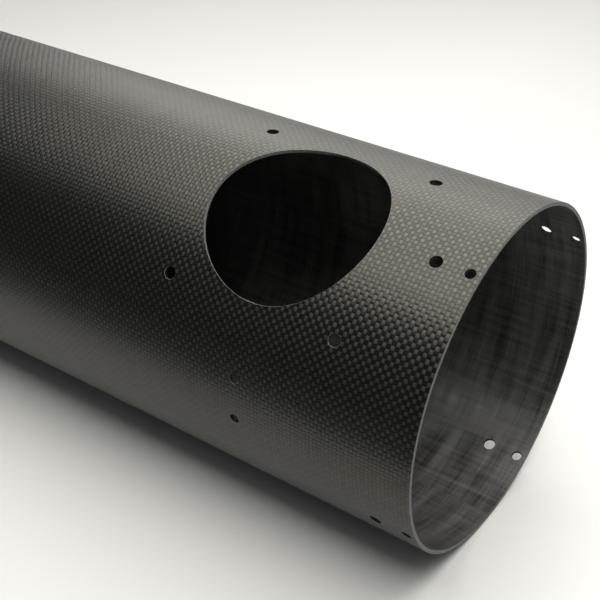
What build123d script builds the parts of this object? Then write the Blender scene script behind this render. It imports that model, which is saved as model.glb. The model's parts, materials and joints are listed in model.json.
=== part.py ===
"""Drilled carbon-fibre tube of a Newtonian telescope, built ply by ply.

Millimetres. The axis lies along X with the open front end at x = 0 and the tube running back
along -X. +Z is up as the tube lies on its side. Angles go round the axis from the top (+Z)
towards the near side (-Y), and stations are distances back from the front end.
"""

import os
from math import cos, radians, sin

from build123d import *

# Tube
outer_diameter = 160.0
tube_length = 600.0
skin_thickness = 0.25  # one plain-woven cloth ply
ply_thickness = 0.15  # one unidirectional ply
buried_plies = [  # from the skin inwards
    "axial",
    "bias_left",
    "bias_right",
    "axial",
    "hoop",
    "axial",
    "bias_right",
    "bias_left",
    "axial",
]

# Focuser opening and its base screws
focuser_angle = 26.7
focuser_station = 86.0
opening_diameter = 80.0
focuser_screw_diameter = 5.6
focuser_screw_spacing = 84.0  # along the tube
focuser_screw_spread = 31.0  # degrees each side of the opening's centre

# Finder shoe screws, side by side round the tube
finder_angle = 88.7
finder_screw_diameter = 4.6
finder_screw_spacing = 21.0

# Rim screws: four places at right angles, one of them in line with the opening
spider_screw_diameter = 5.6
spider_screw_station = 19.3
ring_screw_diameter = 4.6
ring_screw_inset = 4.5  # from either end of the tube

outer_radius = outer_diameter / 2
drill_reach = outer_radius + 5


def outward_plane(station, angle):
    """Plane through the tube's axis that faces out of the wall, with its x axis along the tube."""
    outward = (0, -sin(radians(angle)), cos(radians(angle)))
    return Plane(origin=(-station, 0, 0), x_dir=(1, 0, 0), z_dir=outward)


def drill(plane, diameter, centres=((0, 0),), both_walls=False):
    """Add drill cylinders that run from the tube's axis out through one wall, or both."""
    with BuildSketch(plane) as holes:
        with Locations(*centres):
            Circle(diameter / 2)
    extrude(holes.sketch, amount=drill_reach, both=both_walls)


with BuildPart() as drilling:
    drill(outward_plane(focuser_station, focuser_angle), opening_diameter)
    for side in (-1, 1):
        drill(
            outward_plane(focuser_station, focuser_angle + side * focuser_screw_spread),
            focuser_screw_diameter,
            [(-focuser_screw_spacing / 2, 0), (focuser_screw_spacing / 2, 0)],
        )
    drill(
        outward_plane(focuser_station, finder_angle),
        finder_screw_diameter,
        [(0, -finder_screw_spacing / 2), (0, finder_screw_spacing / 2)],
    )
    for angle in (focuser_angle, focuser_angle + 90):
        drill(outward_plane(spider_screw_station, angle), spider_screw_diameter, both_walls=True)
        for station in (ring_screw_inset, tube_length - ring_screw_inset):
            drill(outward_plane(station, angle), ring_screw_diameter, both_walls=True)


def make_ply(name, radius, thickness):
    """One drilled ply of the wall, written to its own file."""
    with BuildPart() as ply:
        with BuildSketch(Plane.YZ):
            Circle(radius)
            Circle(radius - thickness, mode=Mode.SUBTRACT)
        extrude(amount=-tube_length)
        add(drilling.part, mode=Mode.SUBTRACT)
    ply.part.label = name
    export_step(ply.part, f"parts/{name}.step")


os.makedirs("parts", exist_ok=True)
make_ply("outer_woven_skin", outer_radius, skin_thickness)
radius = outer_radius - skin_thickness
for number, direction in enumerate(buried_plies, start=2):
    make_ply(f"ply_{number:02d}_{direction}", radius, ply_thickness)
    radius -= ply_thickness
make_ply("inner_hoop_ply", radius, ply_thickness)
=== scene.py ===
"""Looks of a drilled carbon-fibre telescope tube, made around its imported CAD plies.

Metres, in the tube's own frame: the axis lies along X with the open front end at x = 0 and the
tube running back along -X. +Z is up. Angles go round the axis from the top (+Z) towards the near
side (-Y), and stations are distances back from the front end.
"""

import json
from math import asin, atan2, ceil, cos, pi, radians, sin, tau

import bpy
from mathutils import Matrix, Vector
from mathutils.geometry import delaunay_2d_cdt


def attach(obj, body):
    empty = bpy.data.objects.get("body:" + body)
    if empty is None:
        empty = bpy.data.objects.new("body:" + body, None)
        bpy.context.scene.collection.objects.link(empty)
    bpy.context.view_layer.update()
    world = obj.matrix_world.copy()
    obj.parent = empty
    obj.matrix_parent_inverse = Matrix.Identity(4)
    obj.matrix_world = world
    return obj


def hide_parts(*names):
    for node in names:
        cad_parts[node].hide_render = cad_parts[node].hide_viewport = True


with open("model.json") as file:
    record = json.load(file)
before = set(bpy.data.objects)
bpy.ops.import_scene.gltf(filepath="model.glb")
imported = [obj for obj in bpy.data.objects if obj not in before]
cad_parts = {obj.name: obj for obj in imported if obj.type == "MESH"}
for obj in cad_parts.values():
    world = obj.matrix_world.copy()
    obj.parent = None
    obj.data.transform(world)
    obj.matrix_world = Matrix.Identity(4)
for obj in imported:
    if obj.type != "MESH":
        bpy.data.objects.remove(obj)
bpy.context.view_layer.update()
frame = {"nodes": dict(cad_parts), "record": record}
mounts = {mount["name"]: mount for mount in frame["record"]["mounts"]}

# Tube, from its mounts and its outermost and innermost plies
outer_radius = mounts["ring_seat"]["dims"]["r_mm"] / 1000
bore_radius = mounts["tube_bore"]["dims"]["r_mm"] / 1000
tube_length = mounts["tube_bore"]["dims"]["length_mm"] / 1000
opening_radius = mounts["focuser_opening"]["dims"]["r_mm"] / 1000
skin_thickness = 0.00025
inner_ply_thickness = 0.00015

# Mesh
angle_step = radians(2)
length_step = 0.005
screw_hole_segments = 32
opening_segments = 120
edge_break = 0.00012  # the sanded corner along every cut edge

# Weave: plain cloth, each tow over one and under one
tows_round = 258
axial_tow_pitch = 0.00188
weave_depth = 0.000058
weave_roughness = 0.36
weave_metal = 1.0
weave_shine_spread = 0.8

# Reflectance of the carbon: on top of a tow and in the gaps, on cut edges, and inside
weave_colour = 0.08
weave_gap_colour = 0.04
rim_colour = 0.17
cut_colour = 0.18
# painted shade: the walls of the screw holes are made almost black for the shade that falls inside
# them
screw_hole_painted_shade = 0.012
inner_colour = 0.062

# Colours of the stage
warm_white = (1.0, 0.985, 0.95)
cool_white = (0.88, 0.98, 1.0, 1.0)


# ---------------------------------------------------------------- holes


def outward_angle(mount):
    """Angle round the tube at which a mount's axis leaves the wall."""
    _, y, z = mount["axis"]
    return atan2(-y, z)


focuser_angle = outward_angle(mounts["focuser_opening"])
focuser_station = -mounts["focuser_opening"]["pos_m"][0]


def listed_holes():
    """(station, angle, sideways shift, radius) of every drilled hole, the focuser opening first.

    A drill runs straight out along its angle. The sideways shift moves it off the tube's axis,
    because the two finder screws are parallel.
    """
    holes = [(focuser_station, focuser_angle, 0.0, opening_radius)]
    for name, mount in mounts.items():
        station = -mount["pos_m"][0]
        angle = outward_angle(mount)
        sizes = mount["dims"]
        if name.startswith("focuser_screws"):
            for end in (-1, 1):
                along = station + end * sizes["pcd_mm"] / 2000
                holes.append((along, angle, 0.0, sizes["hole_r_mm"] / 1000))
        elif name == "finder_screws":
            for side in (-1, 1):
                shift = side * sizes["pcd_mm"] / 2000
                holes.append((station, angle, shift, sizes["hole_r_mm"] / 1000))
        elif mount["kind"] == "bore" and name != "tube_bore":
            for wall in (0, pi):
                holes.append((station, angle + wall, 0.0, sizes["r_mm"] / 1000))
    return holes


def from_middle(angle, middle):
    """An angle measured from another one, within half a turn either way."""
    return (angle - middle + pi) % tau - pi


def hole_outline(hole, radius, growth):
    """(station, angle) pairs clockwise round a drilled hole where it crosses a cylinder."""
    station, angle, shift, hole_radius = hole
    segments = opening_segments if hole_radius == opening_radius else screw_hole_segments
    outline = []
    for i in range(segments):
        turn = -tau * i / segments
        along = (hole_radius + growth) * cos(turn)
        across = shift + (hole_radius + growth) * sin(turn)
        outline.append((station + along, angle + asin(across / radius)))
    return outline


def in_hole(hole, station, angle, margin):
    """Is a point of the wall inside a drilled hole, or within a margin of its edge?"""
    hole_station, hole_angle, shift, hole_radius = hole
    turned = from_middle(angle, hole_angle)
    if abs(turned) > pi / 2:
        return False
    across = outer_radius * sin(turned) - shift
    return (station - hole_station) ** 2 + across**2 < (hole_radius + margin) ** 2


# ---------------------------------------------------------------- plies


def spaced(start, end, step):
    """Evenly spaced values from start to end, about a step apart."""
    count = max(1, ceil((end - start) / step - 0.001))
    return [start + (end - start) * i / count for i in range(count + 1)]


def quarter_outline(stations, angles):
    """(station, angle) pairs counter-clockwise round a quarter of the wall."""
    outline = [(station, angles[0]) for station in stations[:-1]]
    outline += [(stations[-1], angle) for angle in angles[:-1]]
    outline += [(station, angles[-1]) for station in reversed(stations[1:])]
    outline += [(stations[0], angle) for angle in reversed(angles[1:])]
    return outline


def grown_end(station, growth):
    """A station moved off the tube's ends by the growth of the edges there."""
    return min(max(station, growth), tube_length - growth)


def quarter_borders(outline, holes, radius, growth):
    """The closed borders of a quarter at a radius: its own outline, then each hole's."""
    borders = [[(grown_end(station, growth), angle) for station, angle in outline]]
    return borders + [hole_outline(hole, radius, growth) for hole in holes]


def grid_points(stations, angles, holes, clearance):
    """The (station, angle) points inside a quarter's outline that are clear of its holes."""
    return [
        (station, angle)
        for station in stations[1:-1]
        for angle in angles[1:-1]
        if not any(in_hole(hole, station, angle, clearance) for hole in holes)
    ]


def flat_triangles(borders, grid, holes, growth):
    """Triangles between the borders and grid points, laid out flat, without those in holes.

    The holes are wider than drilled by their growth.
    """
    points, edges = [], []
    for border in borders:
        first, count = len(points), len(border)
        points += border
        edges += [(first + i, first + (i + 1) % count) for i in range(count)]
    points += grid
    flat = [Vector((station, angle * outer_radius)) for station, angle in points]
    found = delaunay_2d_cdt(flat, edges, [], 0, 1e-7)
    sources = [original[0] for original in found[3]]
    triangles = []
    for face in found[2]:
        corners = [sources[i] for i in face]
        station = sum(points[i][0] for i in corners) / 3
        angle = sum(points[i][1] for i in corners) / 3
        if not any(in_hole(hole, station, angle, growth) for hole in holes):
            triangles.append(corners)
    return triangles


def on_tube(station, angle, radius):
    """The point of a cylinder round the tube's axis at a station and an angle."""
    return (-station, -radius * sin(angle), radius * cos(angle))


def border_rings(borders, uppers, lowers):
    """Quads that join each border's points on one level to those on the next."""
    rings, start = [], 0
    for border in borders:
        count = len(border)
        for i in range(count):
            a, b = start + i, start + (i + 1) % count
            rings.append((lowers + a, lowers + b, uppers + b, uppers + a))
        start += count
    return rings


def round_normals(mesh, triangle_count):
    """Exact normals on the round faces, so that no triangle or drilled edge shades them."""
    mesh.shade_smooth()
    mesh.set_sharp_from_angle(angle=radians(30))
    normals = []
    for face in mesh.polygons:
        for index in face.vertices:
            _, y, z = mesh.vertices[index].co
            outward = Vector((0, y, z)).normalized()
            if face.index < triangle_count:
                normals.append(outward)
            elif face.index < 2 * triangle_count:
                normals.append(-outward)
            else:
                normals.append(Vector((0, 0, 0)))
    mesh.normals_split_custom_set(normals)


def quarter_of_ply(name, middle, levels, face_material, edge_material):
    """A closed quarter of a ply along the whole tube, with its drilled holes and cut edges.

    The levels are (radius, growth of the cut edges there) from the outer face to the inner one.
    """
    holes = [
        (station, middle + from_middle(angle, middle), shift, radius)
        for station, angle, shift, radius in listed_holes()
        if abs(from_middle(angle, middle)) < pi / 4
    ]
    stations = spaced(0.0, tube_length, length_step)
    angles = [middle + turn for turn in spaced(-pi / 4, pi / 4, angle_step)]
    outline = quarter_outline(stations, angles)
    grid = grid_points(stations, angles, holes, 0.3 * length_step)
    borders = quarter_borders(outline, holes, *levels[0])
    triangles = flat_triangles(borders, grid, holes, levels[0][1])
    vertices, firsts = [], []
    for radius, growth in levels:
        firsts.append(len(vertices))
        for points in quarter_borders(outline, holes, radius, growth) + [grid]:
            vertices += [on_tube(station, angle, radius) for station, angle in points]
    faces = [tuple(triangle) for triangle in triangles]
    faces += [tuple(firsts[-1] + i for i in reversed(triangle)) for triangle in triangles]
    for uppers, lowers in zip(firsts, firsts[1:]):
        faces += border_rings(borders, uppers, lowers)
    mesh = bpy.data.meshes.new(name)
    mesh.from_pydata(vertices, [], faces)
    mesh.materials.append(face_material)
    mesh.materials.append(edge_material)
    for face in mesh.polygons:
        face.material_index = 0 if face.index < 2 * len(triangles) else 1
    round_normals(mesh, len(triangles))
    piece = bpy.data.objects.new(name, mesh)
    bpy.context.scene.collection.objects.link(piece)
    return piece


def add_ply(name, node, levels, face_material, edge_material):
    """The four quarters of a ply, each centred on one of the tube's lines of rim screws."""
    sides = ("focuser", "near", "under", "far")
    for number, side in enumerate(sides):
        middle = focuser_angle + number * pi / 2
        piece = quarter_of_ply(f"{name}_{side}_side", middle, levels, face_material, edge_material)
        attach(piece, "root")
        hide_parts(node)


# ---------------------------------------------------------------- materials


class Surface:
    """A node material being built. Each call adds one node and returns its output."""

    def __init__(self, name):
        self.material = bpy.data.materials.new(name)
        self.material.use_nodes = True
        self.tree = self.material.node_tree
        self.shader = self.tree.nodes["Principled BSDF"]
        coordinates = self.tree.nodes.new("ShaderNodeTexCoord")
        self.place = coordinates.outputs["Object"]

    def set(self, **values):
        """Fixed or linked values of the shader's sockets."""
        for name, value in values.items():
            self.feed(self.shader.inputs[name.replace("_", " ").title()], value)

    def feed(self, socket, value):
        """Give an input a value, or link an output to it."""
        if isinstance(value, bpy.types.NodeSocket):
            self.tree.links.new(value, socket)
        else:
            socket.default_value = value

    def maths(self, operation, *values):
        node = self.tree.nodes.new("ShaderNodeMath")
        node.operation = operation
        for socket, value in zip(node.inputs, values):
            self.feed(socket, value)
        return node.outputs["Value"]

    def blend(self, share, first, second):
        """The first value at share 0 and the second at share 1."""
        node = self.tree.nodes.new("ShaderNodeMix")
        for socket, value in zip(node.inputs, (share, None, first, second)):
            if value is not None:
                self.feed(socket, value)
        return node.outputs["Result"]

    def spread(self, value, low, high, new_low, new_high):
        """A value's range from low to high, moved to new_low to new_high and held there."""
        node = self.tree.nodes.new("ShaderNodeMapRange")
        for socket, number in zip(node.inputs, (value, low, high, new_low, new_high)):
            self.feed(socket, number)
        return node.outputs["Result"]

    def point(self, x, y, z):
        node = self.tree.nodes.new("ShaderNodeCombineXYZ")
        for socket, value in zip(node.inputs, (x, y, z)):
            self.feed(socket, value)
        return node.outputs["Vector"]

    def noise(self, place, scale=1.0, detail=2.0):
        node = self.tree.nodes.new("ShaderNodeTexNoise")
        self.feed(node.inputs["Vector"], place)
        node.inputs["Scale"].default_value = scale
        node.inputs["Detail"].default_value = detail
        return node.outputs["Fac"]

    def chance(self, value):
        """A steady random number from 0 to 1 for each value."""
        node = self.tree.nodes.new("ShaderNodeTexWhiteNoise")
        node.noise_dimensions = "1D"
        self.feed(node.inputs["W"], value)
        return node.outputs["Value"]

    def grey(self, value, tint=(1.0, 1.0, 1.0)):
        """A colour of that brightness and tint."""
        node = self.tree.nodes.new("ShaderNodeVectorMath")
        node.operation = "SCALE"
        node.inputs[0].default_value = tint
        self.feed(node.inputs["Scale"], value)
        return node.outputs["Vector"]

    def bump(self, height, distance):
        """A normal bent by a height from 0 to 1 that stands for a distance in metres."""
        node = self.tree.nodes.new("ShaderNodeBump")
        node.inputs["Distance"].default_value = distance
        self.feed(node.inputs["Height"], height)
        return node.outputs["Normal"]

    def axes(self):
        """x, y and z at each point."""
        node = self.tree.nodes.new("ShaderNodeSeparateXYZ")
        self.feed(node.inputs[0], self.place)
        return node.outputs

    def round_the_tube(self):
        """(metres along the axis, turns round it) at each point."""
        x, y, z = self.axes()
        turns = self.maths("ARCTAN2", self.maths("MULTIPLY", y, -1.0), z)
        return x, self.maths("DIVIDE", turns, tau)

    def from_axis(self):
        """Distance from the tube's axis at each point."""
        _, y, z = self.axes()
        squares = self.maths("ADD", self.maths("MULTIPLY", y, y), self.maths("MULTIPLY", z, z))
        return self.maths("SQRT", squares)


def woven_carbon():
    """Plain-woven carbon cloth under a thin satin resin.

    Each cell of the weave shows one tow, along the axis or round the tube. It is crowned across
    its width and dips under its neighbours at both ends. Its fibres shine across their length.
    """
    s = Surface("woven_carbon")
    x, turns = s.round_the_tube()
    u = s.maths("DIVIDE", x, axial_tow_pitch)
    v = s.maths("MULTIPLY", turns, tows_round)
    u_cell, v_cell = s.maths("FLOOR", u), s.maths("FLOOR", v)
    axial = s.maths("FLOORED_MODULO", s.maths("ADD", u_cell, v_cell), 2.0)
    a = s.maths("SUBTRACT", s.maths("SUBTRACT", u, u_cell), 0.5)
    b = s.maths("SUBTRACT", s.maths("SUBTRACT", v, v_cell), 0.5)
    along, across = s.blend(axial, b, a), s.blend(axial, a, b)
    run = s.blend(axial, v, u)
    tow = s.maths("ADD", s.blend(axial, u_cell, v_cell), s.maths("MULTIPLY", axial, 1000.5))
    crimp = s.maths("COSINE", s.maths("MULTIPLY", along, pi))
    crown = s.maths("POWER", s.maths("COSINE", s.maths("MULTIPLY", across, pi)), 0.5)
    swell = s.maths("MULTIPLY", crimp, crown)
    strands = s.point(s.maths("MULTIPLY", run, 0.4), s.maths("MULTIPLY", across, 9.0), tow)
    fibres = s.noise(strands, 1.5, 3.0)
    lively = s.chance(tow)
    shade = s.spread(swell, 0.0, 0.9, weave_gap_colour, weave_colour)
    shade = s.maths("MULTIPLY", shade, s.spread(fibres, 0.2, 0.8, 0.75, 1.25))
    shade = s.maths("MULTIPLY", shade, s.spread(lively, 0.0, 1.0, 0.9, 1.1))
    # Painted sheen: the axial tows are made more reflective than the hoop tows, standing in for the
    # way the two directions of fibre catch this light.
    shade = s.maths("MULTIPLY", shade, s.blend(axial, 0.84, 1.16))
    rough = s.spread(fibres, 0.2, 0.8, weave_roughness - 0.05, weave_roughness + 0.05)
    height = s.maths("ADD", swell, s.maths("MULTIPLY", fibres, 0.03))
    hoopwise = s.maths("MULTIPLY", turns, tau)
    sideways = s.point(
        s.maths("SUBTRACT", 1.0, axial),
        s.maths("MULTIPLY", axial, s.maths("MULTIPLY", s.maths("COSINE", hoopwise), -1.0)),
        s.maths("MULTIPLY", axial, s.maths("MULTIPLY", s.maths("SINE", hoopwise), -1.0)),
    )
    s.set(base_color=s.grey(shade, (1.0, 0.97, 0.84)), roughness=rough)
    s.set(normal=s.bump(height, weave_depth))
    s.set(metallic=weave_metal, anisotropic=weave_shine_spread, tangent=sideways)
    s.set(coat_weight=0.15, coat_roughness=0.4)
    return s.material


def cut_carbon():
    """Sawn and sanded edges: matt, each ply a little different, with painted shade darkening the
    walls of the screw holes.
    """
    s = Surface("cut_carbon")
    x, y, z = s.axes()
    depth = s.maths("SUBTRACT", outer_radius, s.from_axis())
    ply = s.maths("FLOOR", s.maths("DIVIDE", depth, inner_ply_thickness))
    grit = s.noise(s.place, 1500.0, 4.0)
    shade = s.spread(s.chance(ply), 0.0, 1.0, 0.8, 1.15)
    shade = s.maths("MULTIPLY", shade, s.spread(grit, 0.35, 0.65, 0.6, 1.4))
    rim_margin, opening_margin = 0.0003, 0.0005
    from_middle_of_tube = s.maths("ABSOLUTE", s.maths("ADD", x, tube_length / 2))
    on_rim = s.maths("GREATER_THAN", from_middle_of_tube, tube_length / 2 - rim_margin)
    across = s.maths("MULTIPLY", y, cos(focuser_angle))
    across = s.maths("ADD", across, s.maths("MULTIPLY", z, sin(focuser_angle)))
    along = s.maths("ADD", x, focuser_station)
    reach = s.maths("ADD", s.maths("MULTIPLY", along, along), s.maths("MULTIPLY", across, across))
    in_opening = s.maths("LESS_THAN", reach, (opening_radius + opening_margin) ** 2)
    # Painted shade: the walls of the screw holes get an almost black colour for the shade inside
    # them, while the focuser opening's wall keeps the plain cut colour.
    drilled = s.blend(in_opening, screw_hole_painted_shade, cut_colour)
    on_corner = s.maths("LESS_THAN", depth, 1.02 * edge_break)
    sanded = s.maths("MAXIMUM", on_rim, on_corner)
    shade = s.maths("MULTIPLY", shade, s.blend(sanded, drilled, rim_colour))
    s.set(base_color=s.grey(shade, (1.0, 0.99, 0.95)), roughness=0.75, normal=s.bump(grit, 0.00005))
    s.shader.inputs["Specular IOR Level"].default_value = 0.15
    return s.material


def inner_carbon():
    """The mandrel side of the inner ply: resin-rich, streaked both along and round the tube."""
    s = Surface("inner_carbon")
    x, turns = s.round_the_tube()
    metres_round = s.maths("MULTIPLY", turns, tau * bore_radius)

    def streaks(along, around, seed):
        place = s.point(
            s.maths("MULTIPLY", x, along),
            s.maths("MULTIPLY", metres_round, around),
            seed,
        )
        return s.noise(place, detail=4.0)

    broad = streaks(140.0, 16.0, 0.0)
    fine = streaks(900.0, 40.0, 3.0)
    axial = streaks(28.0, 420.0, 5.0)
    mixed = s.blend(0.3, s.blend(0.35, broad, fine), axial)
    shade = s.spread(mixed, 0.38, 0.62, 0.35 * inner_colour, 1.75 * inner_colour)
    shade = s.maths("MULTIPLY", shade, s.spread(s.noise(s.place, 16.0, 3.0), 0.3, 0.7, 0.65, 1.4))
    rough = s.spread(broad, 0.35, 0.65, 0.3, 0.55)
    s.set(base_color=s.grey(shade, (1.0, 0.98, 0.94)), roughness=rough, normal=s.bump(mixed, 0.0001))
    return s.material


skin_levels = [
    (outer_radius, edge_break),
    (outer_radius - edge_break, 0.0),
    (outer_radius - skin_thickness, 0.0),
]
inner_levels = [
    (bore_radius + inner_ply_thickness, 0.0),
    (bore_radius + 0.4 * inner_ply_thickness, 0.0),
    (bore_radius, 0.6 * inner_ply_thickness),
]
cut = cut_carbon()
add_ply("woven_skin", "outer_woven_skin", skin_levels, woven_carbon(), cut)
add_ply("inner_ply", "inner_hoop_ply", inner_levels, inner_carbon(), cut)
for name, node in frame["nodes"].items():
    if name.startswith("ply_"):
        node.data.materials.clear()
        node.data.materials.append(cut)


# ---------------------------------------------------------------- floor, lights and camera


def pale_floor():
    """A plain pale floor that the tube lies on, with painted shade that darkens it towards the back
    and the far left.

    It ends on the near side just past the view, so that the lower wall mirrors a dim room.
    """
    s = Surface("pale_floor")
    x, y, _ = s.axes()
    # Painted shade: the floor's colour falls off towards the back and, behind the tube, towards the
    # far left, standing in for light that falls off there.
    behind = s.spread(y, 0.0, 0.3, 0.0, 1.0)
    far_left_painted_shade = s.maths("MULTIPLY", behind, s.spread(x, -0.4, 0.05, 1.0, 0.0))
    shade = s.spread(y, 0.0, 0.8, 0.76, 0.31)
    shade = s.maths("MULTIPLY", shade, s.spread(far_left_painted_shade, 0.0, 1.0, 1.0, 0.7))
    s.set(base_color=s.grey(shade, (1.0, 0.993, 0.965)), roughness=0.7)
    reach = 4.0
    near_edge = -0.19
    mesh = bpy.data.meshes.new("floor")
    corners = [(-reach, near_edge, 0), (reach, near_edge, 0), (reach, reach, 0), (-reach, reach, 0)]
    mesh.from_pydata(corners, [], [(0, 1, 2, 3)])
    mesh.materials.append(s.material)
    floor = bpy.data.objects.new("floor", mesh)
    floor.location = (-tube_length / 2, 0.0, -outer_radius)
    bpy.context.scene.collection.objects.link(floor)


def softbox(name, place, target, size, watts):
    """A warm rectangular area light that faces a target and that the camera doesn't see."""
    light = bpy.data.lights.new(name, "AREA")
    light.shape = "RECTANGLE"
    light.size, light.size_y = size
    light.energy = watts
    light.color = warm_white
    box = bpy.data.objects.new(name, light)
    box.location = place
    aim = Vector(target) - Vector(place)
    box.rotation_euler = aim.to_track_quat("-Z", "Y").to_euler()
    box.visible_camera = False
    bpy.context.scene.collection.objects.link(box)


def room(seen, lit):
    """A cool room that the camera sees as pale, and that lights the tube only dimly."""
    world = bpy.data.worlds.new("room")
    bpy.context.scene.world = world
    world.use_nodes = True
    tree = world.node_tree
    background = tree.nodes["Background"]
    background.inputs["Color"].default_value = cool_white
    ray = tree.nodes.new("ShaderNodeLightPath")
    mix = tree.nodes.new("ShaderNodeMix")
    mix.inputs[2].default_value = lit
    mix.inputs[3].default_value = seen
    tree.links.new(ray.outputs["Is Camera Ray"], mix.inputs[0])
    tree.links.new(mix.outputs["Result"], background.inputs["Strength"])


def camera(place, azimuth, down, field_of_view):
    """A camera at a place, turned from +Y towards -X, looking down."""
    data = bpy.data.cameras.new("camera")
    data.angle = radians(field_of_view)
    data.clip_start = 0.01
    view = bpy.data.objects.new("camera", data)
    view.location = place
    view.rotation_euler = (radians(90 - down), 0.0, radians(azimuth))
    bpy.context.scene.collection.objects.link(view)
    bpy.context.scene.camera = view


pale_floor()
softbox("overhead", (-0.25, 0.3, 1.2), (-0.25, 0.3, 0.0), (1.7, 1.1), 18.0)
softbox("overhead_back", (-0.65, 1.35, 1.2), (-0.65, 1.35, 0.0), (2.6, 1.0), 29.0)
softbox("overhead_near", (-0.1, -0.5, 1.2), (-0.1, -0.5, 0.0), (1.6, 0.5), 9.0)
softbox("overhead_right", (0.7, -0.5, 1.3), (0.7, -0.5, 0.0), (1.2, 1.2), 4.0)
softbox("back_wall", (-0.45, 2.0, 0.8), (-0.3, 0.0, 0.1), (3.4, 1.2), 20.0)
room(seen=0.8, lit=0.11)
camera((0.1533, -0.3657, 0.2995), azimuth=35.63, down=33.68, field_of_view=29.58)
bpy.context.scene.view_settings.view_transform = "Standard"
